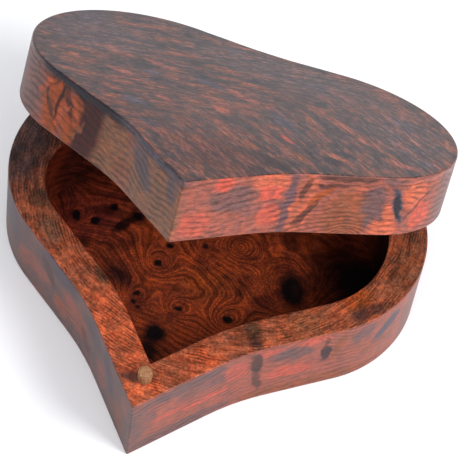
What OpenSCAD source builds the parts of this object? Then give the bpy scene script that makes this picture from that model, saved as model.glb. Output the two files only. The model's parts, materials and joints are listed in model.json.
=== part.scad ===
// Heart-shaped wooden puzzle box: a hollowed base and a hollow lid on one rear
// butt hinge, with a notched catch peg and a sliding pin that locks the lid.
// Millimetres, +Z up. The origin is on the underside, midway between the tip of
// the heart (-Y) and the back of its lobes (+Y). Lid parts are drawn closed and
// then swung open about the hinge axis.

/* [Outline] */
// Overall width across the two lobes
box_w = 120; // [110:1:135]
// Overall length from the tip to the back of the lobes
box_l = 107; // [103:1:113]
// Radius of each lobe
lobe_r = 35; // [33:0.5:37]
// Half angle of the tip
tip_angle = 40; // [37:0.5:43]
// Heading of the flank where it meets the lobe, from the centre line
flank_angle = 53.5; // [51:0.5:56]
// Radius of the hollow in each flank
flank_r = 75; // [50:5:90]
// Radius of the cleft between the lobes
cleft_r = 95; // [60:5:110]

/* [Base] */
// Height of the base, floor plate included
base_h = 25.5; // [22:0.5:32]
// Thickness of the glued floor plate
floor_t = 2.4; // [2:0.2:4]
// Wall thickness along the flanks
base_wall_t = 9.5; // [8.5:0.5:11]
// Reach of the cavity from the centre line into the right lobe
cavity_reach_right = 49.2; // [47:0.2:50]
// Radius of the cavity in the right lobe
cavity_r_right = 25; // [23:0.5:27]
// Reach of the cavity from the centre line into the left lobe
cavity_reach_left = 47.8; // [46:0.2:50]
// Radius of the cavity in the left lobe
cavity_r_left = 18; // [16:0.5:25]
// Radius of the cavity's own cleft
cavity_cleft_r = 45; // [30:5:60]

/* [Lid] */
// Thickness of the lid, top plate included
lid_t = 17; // [15:0.5:22]
// Thickness of the glued top plate
lid_top_t = 2.2; // [2:0.2:4]
// Wall thickness of the lid
lid_wall_t = 10; // [9:0.5:12]
// Angle at which the lid stands open
lid_open = 31.5; // [0:0.5:95]

/* [Catch] */
// Diameter of the catch peg
peg_d = 4; // [3.6:0.1:4.4]
// Height of the peg above the rim
peg_up = 3.2; // [3:0.1:3.6]
// Distance of the peg from the tip
peg_from_tip = 10; // [9.5:0.1:10.5]
// Diameter of the steel lock pin
lock_pin_d = 1.4; // [1.2:0.1:1.5]
// Length of the lock pin
lock_pin_l = 12; // [11:0.5:12.5]

/* [Hinge] */
// Width of the brass hinge
hinge_w = 24; // [20:1:26]
// Depth of each leaf, from its front edge to the hinge axis
leaf_depth = 9.7; // [9:0.1:10]
// Thickness of each leaf
leaf_t = 0.85; // [0.7:0.05:0.9]
// Outer diameter of the knuckles
knuckle_d = 3.8; // [3.4:0.1:4]
// Diameter of the hinge pin
hinge_pin_d = 2; // [1.8:0.1:2.2]

/* [Hidden] */
$fn = 64;

burl = "#7a3b22";
burl_top = "#5b3a30";
rim_wood = "#a4552c";
dowel_wood = "#b98a5e";
brass = "#b8913e";
steel = "#8d8f92";

arc_step = 3;        // degrees between the points of an arc
rim_gap = 0.1;       // between the closed lid and the rim
fit = 0.05;          // clearance of glued, driven and turning fits
overcut = 1;         // how far a cut runs past the face it opens

// Outline
lobe_x = box_w / 2 - lobe_r;
lobe_y = box_l / 2 - lobe_r;
tip_y = -box_l / 2;

// Hinge axis: in the joint plane, just behind the lobes
axis_y = box_l / 2 + 0.2;
axis_z = base_h + rim_gap / 2;
knuckle_gap = 0.15;
knuckle_relief = 0.4;
knuckle_l = (hinge_w - 2 * knuckle_gap) / 3;
leaf_front = axis_y - leaf_depth;
mortise_t = leaf_t + fit;

// Hinge screws
screw_x = 8;
screw_y = axis_y - 6.2;
screw_l = 7;
screw_head_r = 1.7;
screw_r = 0.8;
screw_slot_w = 0.35;

// Catch: everything along the lock bore is measured from the peg's centre
peg_r = peg_d / 2;
peg_y = tip_y + peg_from_tip;
peg_down = 9;
peg_chamfer = 0.45;
lid_z = base_h + rim_gap;
lock_z = base_h + 1.75;                // height of the lock bore's axis, lid closed
lock_x = -peg_r;                       // it runs past the peg's left side
socket_r = peg_r + 0.4;
socket_h = peg_up + 0.3;
bore_r = lock_pin_d / 2 + 0.15;
notch_r = lock_pin_d / 2 + 0.25;
boss_r = 20;                           // solid nose of the lid, about the peg
bore_front = peg_y - 3.8;
pin_unlocked = peg_y + socket_r + 0.2; // front end of the pin when it is drawn back
plug_front = pin_unlocked + lock_pin_l + 0.1;

// ---- Outline of the heart ----

function polar(r, a) = r * [cos(a), sin(a)];
function heading(a) = [sin(a), cos(a)];
function flip(points) = [for (i = [len(points) - 1:-1:0]) [-points[i].x, points[i].y]];

function arc(centre, r, from, to) =
    let (n = max(2, ceil(abs(to - from) / arc_step)))
    [for (i = [0:n]) centre + polar(r, from + (to - from) * i / n)];

// A lobe is [x, y, radius]. This one touches the flank, inset by t, and reaches out to x = reach.
function lobe_touching_flank(t, reach, r) =
    let (x = reach - r)
    [x, lobe_y + ((x - lobe_x) * cos(flank_angle) - (lobe_r - t - r)) / sin(flank_angle), r];

// Where the straight line of the tip crosses the straight line of the flank, both inset by t
function flank_corner(t) =
    let (
        tip = [0, tip_y + t / sin(tip_angle)],
        on_flank = [lobe_x, lobe_y] + (lobe_r - t) * [cos(flank_angle), -sin(flank_angle)],
        gap = on_flank - tip,
        along = heading(flank_angle),
        length = (gap.y * along.x - gap.x * along.y) / sin(flank_angle - tip_angle)
    )
    tip + length * heading(tip_angle);

// The hollow of the right flank: an arc that touches both of those lines
function flank_hollow(t) =
    let (
        r = flank_r + t,
        half = (flank_angle - tip_angle) / 2,
        middle = (flank_angle + tip_angle) / 2,
        centre = flank_corner(t) + r / cos(half) * [cos(middle), -sin(middle)]
    )
    arc(centre, r, 180 - tip_angle, 180 - flank_angle);

// Centre of the arc of radius r that rests in the cleft on top of both lobes
function cleft_centre(right, left, r) =
    let (
        a = [right.x, right.y],
        b = [-left.x, left.y],
        span = norm(b - a),
        ra = right[2] + r,
        rb = left[2] + r,
        along = (ra * ra - rb * rb + span * span) / (2 * span),
        up = sqrt(ra * ra - along * along),
        u = (b - a) / span
    )
    a + along * u + up * [u.y, -u.x];

// Heart outline, inset by t, from the tip up the right side and down the left
function heart(t, right, left, cleft) =
    let (
        c = cleft_centre(right, left, cleft),
        to_right = c - [right.x, right.y],
        to_left = c - [-left.x, left.y],
        end_right = atan2(to_right.y, to_right.x),
        end_left = 180 - atan2(to_left.y, to_left.x)
    )
    concat(
        [[0, tip_y + t / sin(tip_angle)]],
        flank_hollow(t),
        arc([right.x, right.y], right[2], -flank_angle, end_right),
        arc(c, cleft, end_right - 180, -end_left),
        flip(arc([left.x, left.y], left[2], -flank_angle, end_left)),
        flip(flank_hollow(t))
    );

function even_lobe(t) = [lobe_x, lobe_y, lobe_r - t];
function even_heart(t) = heart(t, even_lobe(t), even_lobe(t), cleft_r + t);

module outer_outline() {
    polygon(even_heart(0));
}

module base_cavity_outline() {
    polygon(heart(
        base_wall_t,
        lobe_touching_flank(base_wall_t, cavity_reach_right, cavity_r_right),
        lobe_touching_flank(base_wall_t, cavity_reach_left, cavity_r_left),
        cavity_cleft_r
    ));
}

module lid_cavity_outline() {
    difference() {
        polygon(even_heart(lid_wall_t));
        translate([0, peg_y]) circle(r = boss_r);
    }
}

// ---- Placing ----

module lid_pose() {
    translate([0, axis_y, axis_z])
        rotate([-lid_open, 0, 0])
            translate([0, -axis_y, -axis_z])
                children();
}

// Turns a shape drawn for the base over the joint plane, into the lid
module mirrored_into_lid() {
    translate([0, 0, 2 * axis_z]) mirror([0, 0, 1]) children();
}

// A rod along Y at the height of the lock bore
module lock_rod(r, from, to) {
    translate([lock_x, to, lock_z]) rotate([90, 0, 0]) cylinder(r = r, h = to - from);
}

// ---- Hinge pieces, drawn for the base ----

module at_screws() {
    for (side = [-1, 1])
        translate([side * screw_x, screw_y, base_h]) children();
}

module screw_shape(grow) {
    rotate_extrude() polygon([
        [0, -screw_l],
        [screw_r + grow, -screw_l],
        [screw_r + grow, -leaf_t],
        [screw_head_r + grow, 0],
        [0, 0]
    ]);
}

module leaf_mortise() {
    translate([-hinge_w / 2 - fit, leaf_front - fit, base_h - mortise_t])
        cube([hinge_w + 2 * fit, leaf_depth + knuckle_d, mortise_t + overcut]);
}

// Groove in the edge of the wood that clears the knuckles
module knuckle_groove() {
    translate([-hinge_w / 2 - knuckle_relief, axis_y, axis_z]) rotate([0, 90, 0])
        cylinder(d = knuckle_d + 2 * knuckle_relief, h = hinge_w + 2 * knuckle_relief);
}

module screw_pilots() {
    at_screws() translate([0, 0, -screw_l - fit]) cylinder(r = screw_r + fit, h = screw_l);
}

// x is the start of a knuckle and w its length
module knuckle(x, w) {
    translate([x, axis_y, axis_z]) rotate([0, 90, 0]) cylinder(d = knuckle_d, h = w);
}

module knuckle_clearance(x, w) {
    translate([x, axis_y - knuckle_d / 2 - fit, base_h - leaf_t - overcut])
        cube([w, knuckle_d + 2 * fit, knuckle_d + overcut]);
}

module pin_hole() {
    translate([-hinge_w / 2 - overcut, axis_y, axis_z])
        rotate([0, 90, 0]) cylinder(d = hinge_pin_d + 2 * fit, h = hinge_w + 2 * overcut);
}

module leaf_plate() {
    difference() {
        translate([-hinge_w / 2, leaf_front, base_h - leaf_t]) cube([hinge_w, leaf_depth, leaf_t]);
        at_screws() screw_shape(fit);
    }
}

module screws() {
    at_screws() difference() {
        screw_shape(0);
        translate([-screw_head_r - overcut, -screw_slot_w / 2, -0.4])
            cube([2 * (screw_head_r + overcut), screw_slot_w, overcut]);
    }
}

// ---- Nodes that stay with the base ----

module base_wall() {
    color(burl) difference() {
        translate([0, 0, floor_t]) linear_extrude(base_h - floor_t) difference() {
            outer_outline();
            base_cavity_outline();
        }
        leaf_mortise();
        knuckle_groove();
        screw_pilots();
        translate([0, peg_y, base_h - peg_down - fit])
            cylinder(r = peg_r + fit, h = peg_down + overcut);
    }
}

module base_floor() {
    color(burl) linear_extrude(floor_t) outer_outline();
}

module catch_peg() {
    color(dowel_wood) difference() {
        translate([0, peg_y, base_h]) rotate_extrude() polygon([
            [0, -peg_down],
            [peg_r, -peg_down],
            [peg_r, peg_up - peg_chamfer],
            [peg_r - peg_chamfer, peg_up],
            [0, peg_up]
        ]);
        lock_rod(notch_r, peg_y - peg_d, peg_y + peg_d);
    }
}

module hinge_leaf_base() {
    color(brass) difference() {
        union() {
            leaf_plate();
            knuckle(-hinge_w / 2, knuckle_l);
            knuckle(hinge_w / 2 - knuckle_l, knuckle_l);
        }
        knuckle_clearance(-knuckle_l / 2 - knuckle_gap, knuckle_l + 2 * knuckle_gap);
        pin_hole();
    }
}

module hinge_pin() {
    color(brass) translate([-hinge_w / 2 - 0.3, axis_y, axis_z])
        rotate([0, 90, 0]) cylinder(d = hinge_pin_d, h = hinge_w + 0.6);
}

module hinge_screws_base() {
    color(brass) screws();
}

// ---- Nodes that swing with the lid ----

module lid_wall() {
    color(burl) lid_pose() difference() {
        translate([0, 0, lid_z]) linear_extrude(lid_t - lid_top_t) difference() {
            outer_outline();
            lid_cavity_outline();
        }
        mirrored_into_lid() {
            leaf_mortise();
            knuckle_groove();
            screw_pilots();
        }
        translate([0, peg_y, base_h]) cylinder(r = socket_r, h = socket_h);
        lock_rod(bore_r, bore_front, peg_y + boss_r + overcut);
    }
}

module lid_top() {
    color(burl_top) lid_pose()
        translate([0, 0, lid_z + lid_t - lid_top_t]) linear_extrude(lid_top_t) outer_outline();
}

module hinge_leaf_lid() {
    color(brass) lid_pose() mirrored_into_lid() difference() {
        union() {
            leaf_plate();
            knuckle(-knuckle_l / 2, knuckle_l);
        }
        knuckle_clearance(-hinge_w / 2 - overcut, knuckle_l + knuckle_gap + overcut);
        knuckle_clearance(knuckle_l / 2, knuckle_l + knuckle_gap + overcut);
        pin_hole();
    }
}

module hinge_screws_lid() {
    color(brass) lid_pose() mirrored_into_lid() screws();
}

module bore_plug() {
    color(rim_wood) lid_pose() lock_rod(bore_r - fit / 2, plug_front, peg_y + boss_r - 0.3);
}

module lock_pin() {
    color(steel) lid_pose() lock_rod(lock_pin_d / 2, pin_unlocked, pin_unlocked + lock_pin_l);
}

base_wall();
base_floor();
catch_peg();
hinge_leaf_base();
hinge_pin();
hinge_screws_base();
lid_wall();
lid_top();
hinge_leaf_lid();
hinge_screws_lid();
bore_plug();
lock_pin();
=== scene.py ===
"""Looks for the heart-shaped burl puzzle box: figured wood, brass hinge, floor, light and camera."""

import json
import math

import bpy
from mathutils import Matrix, Quaternion, Vector

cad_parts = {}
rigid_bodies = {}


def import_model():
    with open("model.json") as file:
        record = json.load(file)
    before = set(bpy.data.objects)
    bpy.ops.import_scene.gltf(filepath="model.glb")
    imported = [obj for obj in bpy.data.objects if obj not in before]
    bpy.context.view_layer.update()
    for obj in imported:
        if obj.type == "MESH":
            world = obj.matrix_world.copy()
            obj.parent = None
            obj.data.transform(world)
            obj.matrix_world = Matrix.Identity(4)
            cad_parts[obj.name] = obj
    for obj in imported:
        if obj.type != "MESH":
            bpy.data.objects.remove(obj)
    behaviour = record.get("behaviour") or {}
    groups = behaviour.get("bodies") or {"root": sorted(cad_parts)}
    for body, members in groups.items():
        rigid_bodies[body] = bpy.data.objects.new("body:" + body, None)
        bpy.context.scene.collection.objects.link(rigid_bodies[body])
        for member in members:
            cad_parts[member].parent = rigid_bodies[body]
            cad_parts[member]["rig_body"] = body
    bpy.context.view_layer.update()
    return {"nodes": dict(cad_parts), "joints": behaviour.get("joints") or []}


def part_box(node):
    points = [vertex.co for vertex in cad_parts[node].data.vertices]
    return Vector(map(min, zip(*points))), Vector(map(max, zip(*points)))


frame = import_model()

MM = 0.001

HINGE = next(j for j in frame["joints"] if j["name"] == "lid_hinge")
HINGE_AT = Vector(HINGE["pos_m"])
OPEN_ANGLE = math.radians(-HINGE["range_deg"][0])
RIM_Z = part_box("base_wall")[1].z / MM
FLOOR_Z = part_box("base_floor")[1].z / MM


# ---- Node graph helper ----

class Graph:
    """A material's node tree, built by calls that return the socket they make."""

    def __init__(self, name):
        self.material = bpy.data.materials.new(name)
        self.material.use_nodes = True
        self.tree = self.material.node_tree
        self.tree.nodes.clear()

    def node(self, kind, settings=None, **inputs):
        made = self.tree.nodes.new("ShaderNode" + kind)
        for key, value in (settings or {}).items():
            setattr(made, key, value)
        for key, value in inputs.items():
            self.feed(made.inputs[key.replace("_", " ")], value)
        return made

    def feed(self, socket, value):
        if isinstance(value, bpy.types.NodeSocket):
            self.tree.links.new(value, socket)
        elif value is not None:
            socket.default_value = value

    def math(self, operation, *values, clamp=False):
        made = self.tree.nodes.new("ShaderNodeMath")
        made.operation = operation
        made.use_clamp = clamp
        for socket, value in zip(made.inputs, values):
            self.feed(socket, value)
        return made.outputs[0]

    def vector_math(self, operation, *values):
        made = self.tree.nodes.new("ShaderNodeVectorMath")
        made.operation = operation
        vectors = list(values)
        if operation == "SCALE":
            self.feed(made.inputs["Scale"], vectors.pop())
        for socket, value in zip(made.inputs, vectors):
            self.feed(socket, value)
        scalar = operation in ("LENGTH", "DISTANCE", "DOT_PRODUCT")
        return made.outputs["Value" if scalar else "Vector"]

    def noise(self, vector, size, detail=3.0, roughness=0.5, distortion=0.0):
        """size is the width of one blotch, in the vector's own units."""
        return self.node(
            "TexNoise", Vector=vector, Scale=1 / size, Detail=detail,
            Roughness=roughness, Distortion=distortion,
        )

    def spread(self, value, low, high, to_low=0.0, to_high=1.0):
        """Smooth step of value from low..high to to_low..to_high."""
        made = self.node(
            "MapRange", {"interpolation_type": "SMOOTHSTEP"},
            Value=value, From_Min=low, From_Max=high, To_Min=to_low, To_Max=to_high,
        )
        return made.outputs["Result"]

    def ramp(self, value, stops):
        made = self.tree.nodes.new("ShaderNodeValToRGB")
        ramp = made.color_ramp
        while len(ramp.elements) < len(stops):
            ramp.elements.new(0.5)
        for element, (place, colour) in zip(ramp.elements, stops):
            element.position = place
            element.color = (*colour, 1)
        self.feed(made.inputs[0], value)
        return made.outputs["Color"]

    def mix(self, first, second, amount, blend="MIX"):
        made = self.tree.nodes.new("ShaderNodeMix")
        made.data_type = "RGBA"
        made.blend_type = blend
        for name, value in (("A_Color", first), ("B_Color", second), ("Factor_Float", amount)):
            socket = next(s for s in made.inputs if s.identifier == name)
            if isinstance(value, tuple) and len(value) == 3:
                value = (*value, 1)
            self.feed(socket, value)
        return next(s for s in made.outputs if s.identifier == "Result_Color")


# ---- Wood ----

STUDIO_LEVEL = 1.75    # how much brighter the studio shows a matt surface than its own reflectance


def rgb(red, green, blue):
    """The reflectance that looks like this 0 to 255 screen colour under the studio light."""
    def linear(level):
        level /= 255
        return level / 12.92 if level <= 0.04045 else ((level + 0.055) / 1.055) ** 2.4
    return tuple(linear(level) / STUDIO_LEVEL for level in (red, green, blue))


def closed_point(graph, body):
    """A node's own place in millimetres, with the lid swung back down onto the base."""
    coordinates = graph.node("TexCoord").outputs["Object"]
    if body == "base":
        return graph.vector_math("SCALE", coordinates, 1 / MM)
    swing = Matrix.Rotation(OPEN_ANGLE, 3, "X")
    shift = (HINGE_AT - swing @ HINGE_AT) / MM
    mapping = graph.node(
        "Mapping", Vector=coordinates, Scale=(1 / MM,) * 3, Rotation=(OPEN_ANGLE, 0, 0),
        Location=tuple(shift),
    )
    return mapping.outputs[0]


def closed_normal(graph, body):
    """Which way a face looks, with the lid swung back down onto the base."""
    normal = graph.node("TexCoord").outputs["Normal"]
    if body == "base":
        return normal
    swung = graph.node("Mapping", {"vector_type": "NORMAL"}, Vector=normal, Rotation=(OPEN_ANGLE, 0, 0))
    return swung.outputs[0]


def total(graph, values):
    added = values[0]
    for value in values[1:]:
        added = graph.math("ADD", added, value)
    return added


def scaled_noise(graph, point, scale, size, detail=3.0, roughness=0.55):
    """Noise drawn out along an axis by a scale below 1."""
    return graph.noise(graph.vector_math("MULTIPLY", point, scale), size, detail, roughness).outputs["Fac"]


def wandered(graph, point, size, amount, detail=2.0):
    """point pushed about by a noise field."""
    push = graph.noise(point, size, detail).outputs["Color"]
    centred = graph.vector_math("SUBTRACT", push, (0.5, 0.5, 0.5))
    return graph.vector_math("ADD", point, graph.vector_math("SCALE", centred, amount))


def level_plane(graph, point):
    """point with its height taken out, for marks seen from above."""
    return graph.vector_math("MULTIPLY", point, (1.0, 1.0, 0.0))


def paint(graph, plane, colour, marks, softness=0.45):
    """Soft-edged ovals: (centre, half sizes, tilt in degrees, colour, strength)."""
    for centre, half_sizes, tilt, tint, strength in marks:
        spot = graph.node(
            "Mapping", {"vector_type": "TEXTURE"}, Vector=plane, Location=(*centre, 0),
            Rotation=(0, 0, math.radians(tilt)), Scale=(*half_sizes, 1),
        )
        cover = graph.node("TexGradient", {"gradient_type": "SPHERICAL"}, Vector=spot.outputs[0])
        amount = graph.spread(cover.outputs["Fac"], 0.0, softness, 0.0, strength)
        colour = graph.mix(colour, tint, amount)
    return colour


def mottled(graph, point, colour, size, strength, warm=(1.25, 1.0, 0.85), cool=(0.70, 0.88, 1.08)):
    """colour made warmer and cooler in random patches."""
    patches = graph.noise(point, size, 4.0, 0.6).outputs["Fac"]
    shift = graph.ramp(patches, [(0.36, cool), (0.50, (1.0, 1.0, 1.0)), (0.64, warm)])
    return graph.mix(colour, shift, strength, "MULTIPLY")


def rings(graph, height, sharp=1.0):
    """Growth lines where the height field passes whole numbers: 0 between them, 1 on them."""
    wave = graph.math("SINE", graph.math("MULTIPLY", height, 2 * math.pi))
    return graph.math("POWER", graph.math("MULTIPLY_ADD", wave, 0.5, 0.5), sharp)


def height_field(graph, point, slope, eyes, wander=(3.0, 16.0), ripple=(0.7, 4.0)):
    """Its contours are the growth lines. slope is lines per millimetre; eyes are (place, size, lines)."""
    parts = [graph.vector_math("DOT_PRODUCT", point, slope)]
    for amount, size in (wander, ripple):
        parts.append(graph.math("MULTIPLY", graph.noise(point, size, 1.0).outputs["Fac"], amount))
    for place, size, count in eyes:
        away = graph.vector_math("DISTANCE", point, place)
        fade = graph.math("EXPONENT", graph.math("MULTIPLY", away, -1 / size))
        parts.append(graph.math("MULTIPLY", fade, count))
    return total(graph, parts)


def shaded(graph, colour, value, low, high, dark, light):
    """colour made darker where value is low and lighter where it is high."""
    return graph.vector_math("SCALE", colour, graph.spread(value, low, high, dark, light))


def wood_shader(graph, colour, relief_height, roughness=0.42, coat=0.0, bump=0.12):
    """Oiled and polished wood: its fibres show in the gloss and in the relief."""
    gloss = graph.spread(relief_height, 0.3, 0.7, roughness - 0.06, roughness + 0.10)
    relief = graph.node("Bump", Height=relief_height, Strength=bump, Distance=0.1 * MM)
    shader = graph.node(
        "BsdfPrincipled", Base_Color=colour, Roughness=gloss, Normal=relief.outputs[0],
        Coat_Weight=coat, Coat_Roughness=0.25, IOR=1.32,
    )
    graph.node("OutputMaterial", Surface=shader.outputs[0])
    return graph.material


# Colours of the burl
FLAME = rgb(226, 112, 78)
GLOW = rgb(226, 96, 74)
CLAY = rgb(176, 96, 78)
SIENNA = rgb(160, 88, 56)
GOLD = rgb(182, 84, 32)
TAN = rgb(150, 100, 72)
ROSE = rgb(142, 98, 90)
ASH = rgb(122, 88, 86)
SLATE = rgb(90, 80, 92)
MIST = rgb(128, 94, 90)
UMBER = rgb(92, 54, 44)
MAROON = rgb(78, 24, 18)
INK = rgb(40, 32, 42)
OLIVE = rgb(98, 64, 44)
EMBER = rgb(200, 96, 58)
# Black of the burl's eyes; the floor marks also use it as painted shade in the hollow under the lid
EYE_BLACK_AND_SHADE = rgb(16, 9, 14)

MARKS_END = 21         # how far back the listed marks of the outside faces reach

# Marks are in millimetres with the lid closed: across and up for the FRONT lists, which show on the
# outside faces of the front half, and across and back for the others.
LID_FRONT_MARKS = [
    # right of the tip
    ((4.0, 30.0), (5.0, 4.0), 0, GLOW, 0.55),
    ((11.0, 36.5), (6.0, 4.5), 0, ASH, 0.75),
    ((8.5, 41.0), (2.6, 2.6), 0, GLOW, 1.0),
    ((15.5, 33.0), (6.0, 2.2), -10, ASH, 0.45),
    ((18.6, 40.6), (5.0, 3.2), 0, FLAME, 1.0),
    ((19.2, 37.2), (3.8, 3.0), 0, GLOW, 0.95),
    ((21.0, 34.2), (3.6, 1.4), -15, ASH, 0.7),
    ((19.6, 31.0), (2.6, 4.4), 0, GLOW, 0.75),
    ((27.0, 34.0), (3.6, 11.0), -8, FLAME, 0.75),
    ((23.4, 33.0), (1.3, 15.0), 0, SLATE, 0.65),
    ((26.6, 38.6), (1.5, 4.2), -20, UMBER, 0.85),
    ((27.8, 31.4), (1.2, 5.0), -26, UMBER, 0.80),
    ((29.6, 34.0), (0.8, 6.0), -30, UMBER, 0.80),
    ((31.2, 37.0), (1.2, 5.5), -40, GOLD, 0.9),
    ((33.0, 39.4), (4.6, 1.1), 8, UMBER, 0.8),
    ((37.8, 31.0), (7.5, 9.5), 0, SIENNA, 0.85),
    ((43.6, 35.5), (3.6, 5.5), -20, ASH, 0.95),
    ((44.6, 30.6), (2.6, 4.2), -25, ASH, 0.9),
    ((47.2, 27.2), (4.2, 4.0), 0, FLAME, 1.0),
    ((48.2, 31.0), (1.8, 4.4), 10, FLAME, 0.95),
    ((53.0, 37.6), (3.2, 5.0), 0, FLAME, 1.0),
    ((55.0, 31.0), (2.4, 5.4), 0, GLOW, 0.85),
    ((54.2, 34.6), (0.5, 6.0), -32, UMBER, 0.7),
    ((49.4, 34.4), (1.25, 7.6), 18, SLATE, 1.0),
    ((49.5, 34.0), (0.8, 5.6), 18, INK, 0.85),
    ((59.2, 33.0), (1.6, 14.0), 0, ROSE, 0.8),
    ((36.5, 41.9), (9.0, 1.3), 0, UMBER, 0.8),
    ((47.0, 41.6), (3.0, 1.8), 0, ASH, 0.7),
    # left of the tip
    ((-10.0, 34.0), (12.5, 16.0), 0, TAN, 0.95),
    ((-26.0, 34.0), (9.0, 16.0), 0, TAN, 0.95),
    ((-2.0, 34.0), (3.4, 16.0), 0, TAN, 0.8),
    ((-13.6, 36.0), (3.4, 8.0), 34, SLATE, 0.75),
    ((-20.0, 31.0), (5.0, 3.0), 30, SIENNA, 0.6),
    ((-2.8, 38.5), (2.6, 5.0), 0, SLATE, 0.6),
    ((-33.6, 34.0), (6.6, 16.0), -6, MAROON, 1.0),
    ((-56.0, 33.0), (9.0, 18.0), 0, ROSE, 1.0),
    ((-44.4, 34.5), (5.0, 12.0), 0, GOLD, 1.0),
    ((-38.2, 33.0), (3.4, 10.0), -6, GOLD, 0.95),
    ((-40.0, 36.6), (0.9, 6.5), 24, MAROON, 0.7),
    ((-43.0, 35.2), (0.9, 7.5), -10, MAROON, 0.95),
    ((-46.6, 34.0), (0.8, 6.5), 22, UMBER, 0.85),
    ((-41.4, 32.4), (0.8, 5.5), -22, EMBER, 0.95),
    ((-37.4, 35.6), (0.9, 5.5), 30, EMBER, 0.9),
    ((-35.4, 31.0), (0.8, 4.6), -26, SIENNA, 0.9),
    ((-48.6, 37.0), (0.9, 5.0), -24, EMBER, 0.9),
    ((-36.0, 43.4), (26.0, 4.6), 0, INK, 1.0),
    ((-11.0, 43.4), (17.0, 4.2), 0, SLATE, 1.0),
]

BASE_FRONT_MARKS = [
    ((11.0, 22.4), (11.0, 3.4), 0, ASH, 0.95),
    ((15.0, 17.6), (8.0, 3.0), 0, ASH, 0.7),
    ((7.6, 12.4), (5.5, 1.6), 4, GLOW, 0.7),
    ((15.6, 10.6), (6.0, 1.6), 4, GLOW, 0.9),
    ((3.0, 16.0), (3.0, 9.0), 0, ASH, 0.45),
    ((10.0, 2.6), (16.0, 3.4), 0, ASH, 0.85),
    ((21.6, 18.0), (2.8, 5.5), 0, GLOW, 0.6),
    ((29.0, 23.2), (4.0, 2.4), 0, GLOW, 0.7),
    ((25.8, 19.0), (1.9, 6.5), 6, UMBER, 1.0),
    ((26.8, 9.5), (1.5, 6.0), 8, UMBER, 0.8),
    ((34.5, 19.6), (6.4, 4.2), 0, ASH, 0.9),
    ((34.0, 11.0), (7.0, 3.4), 0, GLOW, 0.75),
    ((39.0, 23.8), (5.0, 2.0), 0, GLOW, 0.75),
    ((42.2, 15.6), (1.6, 4.6), -4, INK, 0.9),
    ((41.9, 21.0), (0.9, 4.0), 0, UMBER, 0.7),
    ((45.2, 18.5), (1.6, 7.5), -8, SIENNA, 0.8),
    ((50.6, 20.6), (2.8, 5.0), -30, ASH, 0.85),
    ((52.6, 12.0), (5.0, 3.4), 0, SIENNA, 0.5),
    ((55.4, 17.6), (1.8, 6.0), -20, SLATE, 0.95),
    ((59.4, 13.0), (1.4, 15.0), 0, ROSE, 0.8),
    ((40.0, 2.6), (22.0, 3.0), 0, SIENNA, 0.8),
    ((-8.0, 13.0), (14.0, 26.0), 0, MIST, 1.0),
    ((-28.0, 13.0), (20.0, 26.0), 0, MIST, 1.0),
    ((-52.0, 13.0), (18.0, 26.0), 0, MIST, 1.0),
    ((-53.0, 17.0), (7.0, 8.0), 0, SLATE, 0.55),
    ((-33.0, 22.6), (9.0, 5.0), 0, SLATE, 0.8),
    ((-26.0, 13.0), (6.5, 8.0), 20, CLAY, 0.75),
    ((-18.0, 20.0), (4.6, 6.0), 20, SLATE, 0.7),
    ((-10.5, 17.0), (2.4, 9.0), 16, SLATE, 0.7),
    ((-13.5, 9.0), (2.6, 6.0), 10, CLAY, 0.6),
    ((-42.0, 12.0), (7.0, 5.0), 0, CLAY, 0.6),
    ((-5.0, 8.0), (3.4, 6.0), 0, SIENNA, 0.6),
    ((-3.0, 18.0), (2.4, 5.0), 0, CLAY, 0.5),
    ((-32.0, 8.0), (3.4, 5.0), 24, EMBER, 0.55),
    ((-21.0, 9.0), (2.0, 6.0), 22, UMBER, 0.6),
    ((-37.0, 17.0), (2.4, 6.0), 22, UMBER, 0.6),
    ((-47.0, 9.0), (3.0, 4.5), 10, EMBER, 0.45),
]

RIM_MARKS = [
    ((-13.0, -33.0), (13.0, 20.0), 30, EMBER, 0.9),
    ((0.0, -47.0), (7.0, 8.0), 0, EMBER, 0.95),
    ((12.0, -34.0), (10.0, 8.0), 45, EMBER, 0.8),
    # painted shade: the far left of the rim darker where the lid shades it
    ((-57.0, 17.0), (13.0, 26.0), 0, rgb(92, 62, 56), 1.0),
    ((-46.0, 0.6), (4.6, 4.8), 0, OLIVE, 1.0),
    ((-45.0, 1.5), (2.2, 2.2), 0, UMBER, 0.9),
    ((-40.0, -8.0), (4.0, 8.0), 45, rgb(118, 80, 58), 0.7),
    ((-22.0, -16.5), (6.0, 2.4), -50, OLIVE, 0.9),
    ((22.8, -19.5), (3.0, 6.0), 30, OLIVE, 1.0),
    ((24.6, -22.8), (2.4, 3.4), 30, UMBER, 0.8),
    ((35.0, -12.0), (8.0, 6.0), 40, rgb(150, 90, 60), 0.7),
    ((46.6, 1.5), (4.6, 6.0), -40, GOLD, 0.7),
    ((48.6, -3.4), (5.0, 3.2), 45, UMBER, 1.0),
    ((52.0, 0.6), (4.0, 2.6), 45, UMBER, 0.9),
    ((57.0, 17.0), (9.0, 20.0), 0, rgb(138, 78, 52), 1.0),
    # painted shadow of the peg, falling to its left
    ((-3.4, -44.4), (5.4, 2.2), 10, UMBER, 0.9),
]

FLOOR_MARKS = [
    # painted shade: black where the lid and the right wall shade the right and back of the hollow
    ((45.0, 22.0), (24.0, 22.0), 0, EYE_BLACK_AND_SHADE, 1.0),
    # painted shade: the lid's shade on the back left of the floor and on the left inner wall
    ((-47.0, 29.0), (15.0, 15.0), 0, EYE_BLACK_AND_SHADE, 0.9),
    ((4.0, 5.5), (16.0, 9.0), 20, rgb(150, 68, 34), 0.8),
    ((18.5, 14.0), (5.0, 9.0), 20, rgb(165, 72, 34), 0.8),
    ((-21.0, -1.0), (9.0, 6.0), -30, rgb(62, 28, 26), 0.9),
    ((-36.0, 16.0), (18.0, 16.0), 30, rgb(138, 54, 42), 0.9),
]

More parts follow.
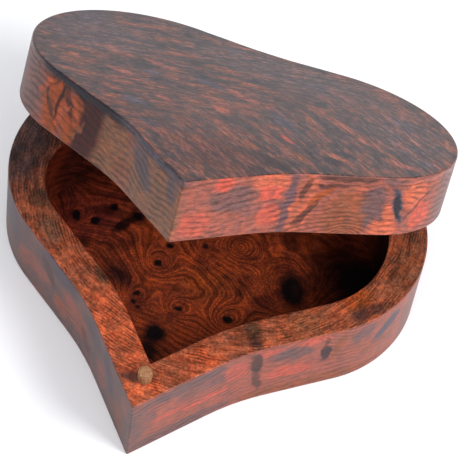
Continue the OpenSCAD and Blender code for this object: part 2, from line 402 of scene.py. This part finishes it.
FLOOR_KNOTS = [
    ((-39.4, 13.9), (2.0, 3.0), 20, EYE_BLACK_AND_SHADE, 1.0),
    ((-33.7, 14.3), (2.0, 2.2), 0, EYE_BLACK_AND_SHADE, 1.0),
    ((-30.2, 20.6), (2.2, 1.8), 0, EYE_BLACK_AND_SHADE, 1.0),
    ((-25.4, 16.2), (6.4, 2.2), 56, EYE_BLACK_AND_SHADE, 0.9),
    ((-22.7, 20.2), (3.0, 2.4), 0, EYE_BLACK_AND_SHADE, 1.0),
    ((-12.1, 7.1), (1.9, 1.6), 0, EYE_BLACK_AND_SHADE, 1.0),
    ((-10.8, 13.9), (1.8, 1.4), 0, EYE_BLACK_AND_SHADE, 1.0),
    ((-14.3, -4.7), (1.5, 1.5), 0, EYE_BLACK_AND_SHADE, 1.0),
    ((-14.4, -7.5), (1.2, 1.0), 0, EYE_BLACK_AND_SHADE, 1.0),
    ((-12.7, -9.1), (1.0, 0.9), 0, EYE_BLACK_AND_SHADE, 1.0),
    ((-1.8, -5.4), (1.8, 1.3), 0, EYE_BLACK_AND_SHADE, 1.0),
    ((-5.2, -15.5), (4.6, 4.4), 0, EYE_BLACK_AND_SHADE, 1.0),
    ((-5.7, -21.0), (5.0, 4.0), 0, EYE_BLACK_AND_SHADE, 0.9),
    ((12.5, -3.7), (2.6, 1.9), 0, EYE_BLACK_AND_SHADE, 1.0),
    ((-1.4, 17.6), (1.6, 1.4), 0, EYE_BLACK_AND_SHADE, 0.9),
    ((26.6, 12.2), (5.6, 9.0), 24, EYE_BLACK_AND_SHADE, 1.0),
    ((27.4, 12.6), (1.6, 3.6), 24, rgb(52, 26, 24), 0.6),
    ((-34.0, 6.5), (3.0, 3.0), 0, EYE_BLACK_AND_SHADE, 0.6),
]

# Eyes of the growth lines: (place, size, lines), in millimetres with the lid closed
FLOOR_EYES = [
    ((-39.4, 13.9, 2.4), 3.0, 4.0),
    ((-12.1, 7.1, 2.4), 4.0, 6.0),
    ((-14.0, -6.0, 2.4), 4.5, 7.0),
    ((-1.8, -5.4, 2.4), 4.0, 6.0),
    ((12.5, -3.7, 2.4), 6.5, 10.0),
    ((25.4, 12.2, 2.4), 8.0, 14.0),
    ((8.1, 20.7, 2.4), 5.5, 9.0),
    ((-1.4, 17.6, 2.4), 3.0, 4.5),
]

SIDE_EYES = [
    ((38.5, -15.0, 24.5), 10.0, 7.0),
    ((49.5, -6.5, 34.0), 2.4, 2.0),
    ((25.8, -24.8, 17.0), 4.0, 3.0),
    ((42.0, -12.3, 15.5), 3.0, 2.0),
    ((-42.0, -12.4, 42.0), 7.0, 5.0),
    ((55.0, 0.0, 18.0), 5.0, 3.0),
    ((-50.0, 34.0, 30.0), 7.0, 6.0),
    ((38.0, 48.0, 12.0), 7.0, 6.0),
]

TOP_MARKS = [
    ((-25.2, 9.6), (4.5, 2.6), 0, SLATE, 0.9),
    ((-8.5, 14.7), (7.5, 2.6), -16, SLATE, 0.9),
    ((-23.6, -12.7), (5.0, 3.4), -20, SLATE, 0.9),
    ((-16.4, -24.5), (5.0, 2.6), -30, SLATE, 0.7),
    ((0.2, -33.7), (4.6, 2.8), -50, INK, 0.9),
    ((4.6, -26.0), (4.6, 2.2), -50, INK, 0.7),
    ((14.6, 4.0), (10.0, 3.4), -46, SLATE, 0.95),
    ((17.0, -24.4), (8.0, 3.4), -20, INK, 0.85),
    ((31.0, -11.4), (5.2, 3.0), -10, INK, 0.8),
    ((17.6, 37.6), (8.5, 4.2), 0, SLATE, 0.8),
    ((52.7, 6.4), (5.0, 3.2), 0, SLATE, 0.8),
    ((43.4, 30.3), (7.0, 2.6), -20, SLATE, 0.7),
    ((-50.0, 36.0), (10.0, 7.0), 20, SLATE, 0.7),
    ((-9.2, 45.8), (5.0, 5.0), 0, SLATE, 0.7),
    ((-35.7, 16.9), (6.0, 3.0), 0, CLAY, 0.6),
    ((-32.3, 4.2), (6.0, 2.6), -10, CLAY, 0.7),
    ((-24.0, 17.4), (6.0, 1.8), -10, CLAY, 0.6),
    ((-17.2, -5.0), (7.0, 2.4), -20, CLAY, 0.7),
    ((-31.7, -8.1), (4.0, 2.0), -20, CLAY, 0.6),
    ((-2.4, -0.7), (5.0, 3.0), -30, FLAME, 0.5),
    ((0.9, 13.5), (8.0, 2.6), -24, CLAY, 0.8),
    ((16.4, -6.4), (4.0, 1.8), -40, GLOW, 0.6),
    ((23.5, 37.1), (7.0, 3.0), -20, CLAY, 0.8),
    ((35.1, 45.7), (4.4, 4.0), 0, CLAY, 0.7),
    ((46.7, 0.9), (7.0, 2.6), 0, CLAY, 0.8),
    ((22.2, -15.1), (5.5, 2.6), -30, SIENNA, 0.9),
    ((9.2, -17.8), (5.0, 2.4), -50, SIENNA, 0.8),
    ((-7.1, -29.1), (5.0, 2.0), -50, SIENNA, 0.7),
    # painted sheen: greyer toward the back, where the plate reflects the bright studio
    ((-44.0, 26.0), (22.0, 18.0), 20, rgb(108, 88, 94), 0.55),
    ((10.0, 40.0), (40.0, 16.0), 0, rgb(112, 92, 94), 0.50),
    ((44.0, 22.0), (16.0, 22.0), 20, rgb(112, 92, 96), 0.40),
    ((6.0, -30.0), (18.0, 16.0), -30, rgb(112, 62, 54), 0.5),
    ((36.0, 10.0), (8.0, 3.0), -40, CLAY, 0.6),
    ((27.0, 16.0), (6.0, 2.4), -40, CLAY, 0.6),
]


def side_figure(graph, point, marks, line_depth):
    """Outside faces: patches of flame, clay and ash, listed in front and random behind.

    line_depth is how much darker the growth lines are than the wood between them.
    """
    swirl = wandered(graph, point, 4.0, 3.2, 5.0)
    place = graph.node("SeparateXYZ", Vector=swirl)
    front_plane = graph.node("CombineXYZ", X=place.outputs["X"], Y=place.outputs["Z"]).outputs[0]
    patches = graph.noise(wandered(graph, point, 9.0, 9.0), 9.0, 4.0, 0.6).outputs["Fac"]
    behind = graph.ramp(patches, [(0.32, UMBER), (0.42, ASH), (0.52, ROSE), (0.62, CLAY), (0.74, TAN)])
    front = paint(graph, front_plane, CLAY, marks)
    in_front = graph.spread(place.outputs["Y"], MARKS_END + 13, MARKS_END)
    colour = graph.mix(behind, front, in_front)
    colour = mottled(graph, swirl, colour, 2.6, 0.6)
    smooth = wandered(graph, point, 9.0, 3.0, 1.0)
    height = height_field(graph, smooth, (0.02, 0.02, -0.58), SIDE_EYES, (3.2, 15.0), (0.30, 3.5))
    growth = rings(graph, height, 1.5)
    where = graph.spread(graph.noise(point, 7.0, 2.0).outputs["Fac"], 0.38, 0.60, 0.45, 1.0)
    colour = shaded(graph, colour, graph.math("MULTIPLY", growth, where), 0.0, 1.0, 1.08, 1 - line_depth)
    fibre = scaled_noise(graph, wandered(graph, point, 6.0, 2.4), (0.24, 0.24, 1.0), 0.6, 4.0, 0.8)
    return shaded(graph, colour, fibre, 0.34, 0.66, 0.64, 1.32), fibre


def rim_figure(graph, point):
    """The sawn rim: growth lines circle the middle of the heart and cross the flanks at a slant; painted
    shade darkens its far left and the peg's shadow is painted beside the peg.
    """
    swirl = wandered(graph, point, 6.0, 2.4, 3.0)
    colour = paint(graph, level_plane(graph, swirl), rgb(168, 88, 58), RIM_MARKS, 0.65)
    colour = mottled(graph, swirl, colour, 3.0, 0.8)
    circled = graph.vector_math("SUBTRACT", level_plane(graph, point), (4.0, 22.0, 0.0))
    across = graph.vector_math("LENGTH", circled)
    parts = graph.node("SeparateXYZ", Vector=circled)
    along = graph.math("MULTIPLY", graph.math("ARCTAN2", parts.outputs["X"], parts.outputs["Y"]), 10.0)
    drawn = graph.node("CombineXYZ", X=across, Y=along).outputs[0]
    drawn = wandered(graph, drawn, 3.0, 1.2)
    bands = graph.noise(drawn, 1.5, 4.0, 0.7).outputs["Fac"]
    colour = shaded(graph, colour, bands, 0.34, 0.66, 0.50, 1.50)
    height = graph.math("MULTIPLY_ADD", graph.noise(point, 12.0, 2.0).outputs["Fac"], 4.0,
                        graph.math("MULTIPLY", across, 1.25))
    bundles = graph.spread(graph.noise(point, 4.0, 2.0).outputs["Fac"], 0.40, 0.65, 0.0, 1.0)
    growth = graph.math("MULTIPLY", rings(graph, height, 1.3), bundles)
    colour = shaded(graph, colour, growth, 0.0, 1.0, 1.16, 0.50)
    fibre = scaled_noise(graph, point, (1.0, 1.0, 1.0), 0.70, 4.0, 0.75)
    return shaded(graph, colour, fibre, 0.34, 0.66, 0.55, 1.46), fibre


def hollow_figure(graph, point):
    """The floor of the hollow: dark red burl, rings closing round black eyes, with painted shade where the
    lid and the walls shade it.
    """
    swirl = wandered(graph, point, 3.0, 1.2, 3.0)
    plane = level_plane(graph, swirl)
    colour = paint(graph, plane, rgb(158, 68, 38), FLOOR_MARKS, 0.8)
    colour = mottled(graph, swirl, colour, 4.5, 0.9, (1.6, 1.45, 1.0), (0.46, 0.44, 0.6))
    colour = paint(graph, wandered(graph, plane, 1.2, 1.6, 4.0), colour, FLOOR_KNOTS, 0.6)
    height = height_field(graph, swirl, (0.02, 0.26, 0.3), FLOOR_EYES, (3.0, 20.0), (0.5, 7.0))
    where = graph.spread(graph.noise(point, 6.0, 2.0).outputs["Fac"], 0.35, 0.6, 0.35, 1.0)
    growth = graph.math("MULTIPLY", rings(graph, height, 1.4), where)
    colour = shaded(graph, colour, growth, 0.0, 1.0, 1.20, 0.54)
    fine = rings(graph, graph.math("MULTIPLY", height, 2.6), 1.0)
    colour = shaded(graph, colour, fine, 0.0, 1.0, 1.16, 0.66)
    fibre = scaled_noise(graph, point, (1.0, 1.0, 1.0), 0.60, 3.0, 0.7)
    return shaded(graph, colour, fibre, 0.32, 0.68, 0.58, 1.46), fibre


def plate_noise(graph, point, drawn_out, size, detail, roughness):
    """Noise drawn out across the plate on its left and slanting toward the tip and the right."""
    place = graph.node("SeparateXYZ", Vector=point)
    to_right_and_tip = graph.math("MULTIPLY_ADD", place.outputs["Y"], -0.8, place.outputs["X"])
    slanting = graph.spread(to_right_and_tip, -26, 26)
    noises = []
    for turn in (20, -40):
        turned = graph.node("Mapping", Vector=point, Rotation=(0, 0, math.radians(-turn))).outputs[0]
        noises.append(scaled_noise(graph, turned, (drawn_out, 1.0, 1.0), size, detail, roughness))
    step = graph.math("SUBTRACT", noises[1], noises[0])
    return graph.math("MULTIPLY_ADD", step, slanting, noises[0])


def top_figure(graph, point):
    """The lid's plate: dark and mottled, with long fine streaks, and painted sheen making it greyer toward
    the back.
    """
    swirl = wandered(graph, point, 8.0, 4.0, 4.0)
    patches = plate_noise(graph, swirl, 0.42, 3.8, 6.0, 0.70)
    colour = graph.ramp(patches, [
        (0.33, rgb(44, 33, 38)), (0.43, rgb(82, 62, 64)), (0.50, rgb(108, 76, 70)),
        (0.57, rgb(142, 82, 66)), (0.68, rgb(176, 100, 74)),
    ])
    colour = paint(graph, level_plane(graph, swirl), colour, TOP_MARKS, 0.7)
    streaks = plate_noise(graph, wandered(graph, point, 6.0, 1.6), 0.10, 1.0, 4.0, 0.7)
    colour = shaded(graph, colour, streaks, 0.38, 0.62, 0.48, 1.55)
    grain = plate_noise(graph, point, 0.4, 0.9, 4.0, 0.8)
    return shaded(graph, colour, grain, 0.34, 0.66, 0.46, 1.54), streaks


def outer_share(graph, point, normal):
    """1 on faces that look away from the middle of the heart, 0 on the walls of the hollow."""
    from_middle = graph.vector_math("SUBTRACT", level_plane(graph, point), (0.0, 8.0, 0.0))
    facing = graph.vector_math("DOT_PRODUCT", from_middle, normal)
    return graph.spread(facing, -2.0, 2.0)


def flat_share(graph, normal):
    """1 on level faces, 0 on upright ones."""
    upright = graph.node("SeparateXYZ", Vector=normal).outputs["Z"]
    return graph.spread(graph.math("ABSOLUTE", upright), 0.6, 0.85)


def wall_wood(name, body, marks, line_depth):
    graph = Graph(name)
    point, normal = closed_point(graph, body), closed_normal(graph, body)
    side, fibre = side_figure(graph, point, marks, line_depth)
    rim, _ = rim_figure(graph, point)
    hollow, _ = hollow_figure(graph, point)
    upright = graph.mix(hollow, side, outer_share(graph, point, normal))
    colour = graph.mix(upright, rim, flat_share(graph, normal))
    return wood_shader(graph, colour, fibre)


def plate_wood(name, body, figure, marks, line_depth, lacquered=False):
    """A thin plate: its faces carry figure, and its edge carries on the wall's side figure.

    Lacquer is worn off toward the tip, where the hand takes hold of the lid.
    """
    graph = Graph(name)
    point, normal = closed_point(graph, body), closed_normal(graph, body)
    face, fibre = figure(graph, point)
    edge, _ = side_figure(graph, point, marks, line_depth)
    colour = graph.mix(edge, face, flat_share(graph, normal))
    coat = 0.0
    if lacquered:
        along = graph.node("SeparateXYZ", Vector=point).outputs["Y"]
        coat = graph.spread(along, -42.0, 4.0, 0.0, 0.2)
    return wood_shader(graph, colour, fibre, coat=coat)


def plain_wood(name, body, colour, scale):
    graph = Graph(name)
    point = closed_point(graph, body)
    fibre = scaled_noise(graph, point, scale, 0.35)
    return wood_shader(graph, shaded(graph, colour, fibre, 0.3, 0.7, 0.65, 1.3), fibre, 0.6, 0.05)


def metal(name, body, colour, roughness, tarnish):
    graph = Graph(name)
    point = closed_point(graph, body)
    spots = graph.noise(point, 1.6, 5.0, 0.65).outputs["Fac"]
    brushed = scaled_noise(graph, point, (0.1, 1.0, 1.0), 0.12)
    shown = graph.mix(colour, tarnish, graph.spread(spots, 0.5, 0.75, 0.0, 0.7))
    gloss = graph.spread(brushed, 0.3, 0.7, roughness - 0.08, roughness + 0.12)
    relief = graph.node("Bump", Height=brushed, Strength=0.15, Distance=0.02 * MM)
    shader = graph.node(
        "BsdfPrincipled", Base_Color=shown, Metallic=1.0, Roughness=gloss, Normal=relief.outputs[0],
    )
    graph.node("OutputMaterial", Surface=shader.outputs[0])
    return graph.material


def dress(material, *names):
    for name in names:
        slots = frame["nodes"][name].data.materials
        slots.clear()
        slots.append(material)


BASE_LINES = 0.26
LID_LINES = 0.46
DOWEL = rgb(196, 140, 98)
BRASS = rgb(206, 174, 112)
BRASS_TARNISH = rgb(124, 96, 58)
STEEL = rgb(178, 178, 180)
STEEL_TARNISH = rgb(124, 120, 116)

dress(wall_wood("burl_wall_base", "base", BASE_FRONT_MARKS, BASE_LINES), "base_wall")
dress(wall_wood("burl_wall_lid", "lid", LID_FRONT_MARKS, LID_LINES), "lid_wall")
dress(plate_wood("burl_floor", "base", hollow_figure, BASE_FRONT_MARKS, BASE_LINES), "base_floor")
dress(plate_wood("burl_top", "lid", top_figure, LID_FRONT_MARKS, LID_LINES, lacquered=True), "lid_top")
dress(plain_wood("dowel_base", "base", DOWEL, (1.0, 1.0, 0.2)), "catch_peg")
dress(plain_wood("dowel_lid", "lid", DOWEL, (1.0, 0.2, 1.0)), "bore_plug")
for body, parts in (
    ("base", ("hinge_leaf_base", "hinge_pin", "hinge_screws_base")),
    ("lid", ("hinge_leaf_lid", "hinge_screws_lid")),
):
    dress(metal("brass_" + body, body, BRASS, 0.34, BRASS_TARNISH), *parts)
dress(metal("steel_wire", "lid", STEEL, 0.30, STEEL_TARNISH), "lock_pin")


# ---- Edges ----

CREASE = math.radians(30)


def closed_place(point, body):
    """The place of a mesh point, in millimetres, with the lid closed."""
    if body == "base":
        return point / MM
    return (HINGE_AT + Matrix.Rotation(OPEN_ANGLE, 3, "X") @ (point - HINGE_AT)) / MM


def creases(mesh):
    """The edges where two faces meet at an angle. The CAD mesh has its vertices doubled along them."""
    sides = {}
    for polygon in mesh.polygons:
        for loop in polygon.loop_indices:
            edge = mesh.loops[loop].edge_index
            ends = (mesh.vertices[v].co / (0.01 * MM) for v in mesh.edges[edge].vertices)
            place = frozenset((round(end.x), round(end.y), round(end.z)) for end in ends)
            sides.setdefault(place, []).append((edge, polygon.normal))
    found = set()
    for pair in sides.values():
        if len(pair) == 2 and pair[0][1].angle(pair[1][1]) > CREASE:
            found.update(edge for edge, _ in pair)
    return found


def round_edges(name, width, share_at):
    """Eases a CAD piece's creases by modifiers: share_at gives each its share of width."""
    piece = frame["nodes"][name]
    mesh = piece.data
    for attribute in ("sharp_edge", "sharp_face", "custom_normal"):
        found = mesh.attributes.get(attribute)
        if found:
            mesh.attributes.remove(found)
    shares = mesh.attributes.new("bevel_weight_edge", "FLOAT", "EDGE")
    sharp = mesh.attributes.new("sharp_edge", "BOOLEAN", "EDGE")
    for edge in creases(mesh):
        ends = (mesh.vertices[v].co for v in mesh.edges[edge].vertices)
        share = share_at(*(closed_place(end, piece["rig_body"]) for end in ends))
        shares.data[edge].value = share
        sharp.data[edge].value = share == 0
    for polygon in mesh.polygons:
        polygon.use_smooth = True
    weld = piece.modifiers.new("weld", "WELD")
    weld.merge_threshold = 0.01 * MM
    flats = piece.modifiers.new("whole_flats", "DECIMATE")
    flats.decimate_type = "DISSOLVE"
    flats.angle_limit = math.radians(0.5)
    bevel = piece.modifiers.new("eased_edges", "BEVEL")
    bevel.loop_slide = False
    bevel.width = width
    bevel.segments = 3
    bevel.limit_method = "WEIGHT"
    bevel.use_clamp_overlap = False
    shading = piece.modifiers.new("even_shading", "WEIGHTED_NORMAL")
    shading.keep_sharp = True


PEG_LOW, PEG_HIGH = (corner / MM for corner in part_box("catch_peg"))
LEAF_LOW, LEAF_HIGH = (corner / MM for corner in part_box("hinge_leaf_base"))


def at_fitting(place):
    """True close to the peg's hole and the hinge's mortise, whose edges stay sharp."""
    near_peg = abs(place.x) < PEG_HIGH.x + 1 and PEG_LOW.y - 1 < place.y < PEG_HIGH.y + 1
    near_leaf = abs(place.x) < LEAF_HIGH.x + 0.6 and place.y > LEAF_LOW.y - 1
    return near_peg or near_leaf


def level_edges(shares):
    """Shares by height: {z: share} for level edges, and 1 for the upright edge at the tip."""
    def share_at(first, second):
        if at_fitting(first) or at_fitting(second):
            return 0.0
        for z, share in shares.items():
            if abs(first.z - z) < 0.02 and abs(second.z - z) < 0.02:
                return share
        upright = (first - second).xy.length < 0.02
        return 1.0 if upright and abs(first.x) < 0.05 and first.y < 0 else 0.0
    return share_at


def every_edge(first, second):
    return 1.0


def peg_top_edge(first, second):
    return 1.0 if min(first.z, second.z) > PEG_HIGH.z - 0.02 else 0.0


WOOD_EDGE = 0.5 * MM
WIRE_EDGE = 0.2 * MM
LEAF_EDGE = 0.1 * MM
GLUE_LINE = 0.25     # share of the full rounding left along a glued seam

# The hinge axis lies midway between the rim and the underside of the closed lid
LID_Z = RIM_Z + (HINGE_AT.z / MM - RIM_Z) * 2
LID_PLATE_HEIGHTS = [closed_place(v.co, "lid").z for v in frame["nodes"]["lid_top"].data.vertices]
LID_SEAM, LID_TOP = min(LID_PLATE_HEIGHTS), max(LID_PLATE_HEIGHTS)

round_edges("base_floor", WOOD_EDGE, level_edges({0.0: 1.0, FLOOR_Z: GLUE_LINE}))
round_edges("base_wall", WOOD_EDGE, level_edges({FLOOR_Z: GLUE_LINE, RIM_Z: 1.0}))
round_edges("lid_wall", WOOD_EDGE, level_edges({LID_Z: 1.0, LID_SEAM: GLUE_LINE}))
round_edges("lid_top", WOOD_EDGE, level_edges({LID_SEAM: GLUE_LINE, LID_TOP: 1.0}))
round_edges("catch_peg", WOOD_EDGE, peg_top_edge)
for rod in ("hinge_pin", "lock_pin", "bore_plug"):
    round_edges(rod, WIRE_EDGE, every_edge)
for leaf in ("hinge_leaf_base", "hinge_leaf_lid"):
    round_edges(leaf, LEAF_EDGE, every_edge)


# ---- Floor, light and camera ----

def make_floor():
    half = 3.0
    corners = [(-half, -half, 0), (half, -half, 0), (half, half, 0), (-half, half, 0)]
    mesh = bpy.data.meshes.new("floor")
    mesh.from_pydata(corners, [], [(0, 1, 2, 3)])
    floor = bpy.data.objects.new("floor", mesh)
    bpy.context.scene.collection.objects.link(floor)
    graph = Graph("floor_paper")
    shader = graph.node("BsdfPrincipled", Base_Color=(0.92, 0.92, 0.93, 1), Roughness=0.9)
    graph.node("OutputMaterial", Surface=shader.outputs[0])
    mesh.materials.append(graph.material)


def make_light(name, place, aim, size, power, colour=(1, 1, 1)):
    data = bpy.data.lights.new(name, "AREA")
    data.shape = "RECTANGLE"
    data.size, data.size_y = size
    data.energy = power
    data.color = colour
    light = bpy.data.objects.new(name, data)
    bpy.context.scene.collection.objects.link(light)
    light.location = place
    light.rotation_mode = "QUATERNION"
    light.rotation_quaternion = (Vector(place) - Vector(aim)).to_track_quat("Z", "Y")


def make_world():
    world = bpy.data.worlds.new("studio")
    world.use_nodes = True
    background = world.node_tree.nodes["Background"]
    background.inputs["Color"].default_value = (0.93, 0.95, 1.0, 1)
    background.inputs["Strength"].default_value = 0.64
    bpy.context.scene.world = world


def make_camera():
    azimuth, elevation, roll = (math.radians(a) for a in (10.05, 55.43, 9.82))
    aim = Vector((7.4, 6.5, 30.0)) * MM
    distance = 670 * MM
    back = Vector((
        math.sin(azimuth) * math.cos(elevation),
        -math.cos(azimuth) * math.cos(elevation),
        math.sin(elevation),
    ))
    data = bpy.data.cameras.new("camera")
    data.sensor_width = 36
    data.lens = 190
    data.clip_start, data.clip_end = 0.05, 20
    camera = bpy.data.objects.new("camera", data)
    bpy.context.scene.collection.objects.link(camera)
    camera.location = aim + back * distance
    camera.rotation_mode = "QUATERNION"
    camera.rotation_quaternion = back.to_track_quat("Z", "Y") @ Quaternion((0, 0, 1), roll)
    bpy.context.scene.camera = camera


make_camera()
make_floor()
make_world()
make_light("key_softbox", (0.70, -0.16, 0.62), (0, 0, 0.03), (0.42, 0.42), 7.5)
make_light("fill_softbox", (-0.2, -0.35, 0.9), (0, 0, 0.03), (0.9, 0.9), 4)
bpy.context.scene.view_settings.view_transform = "Standard"
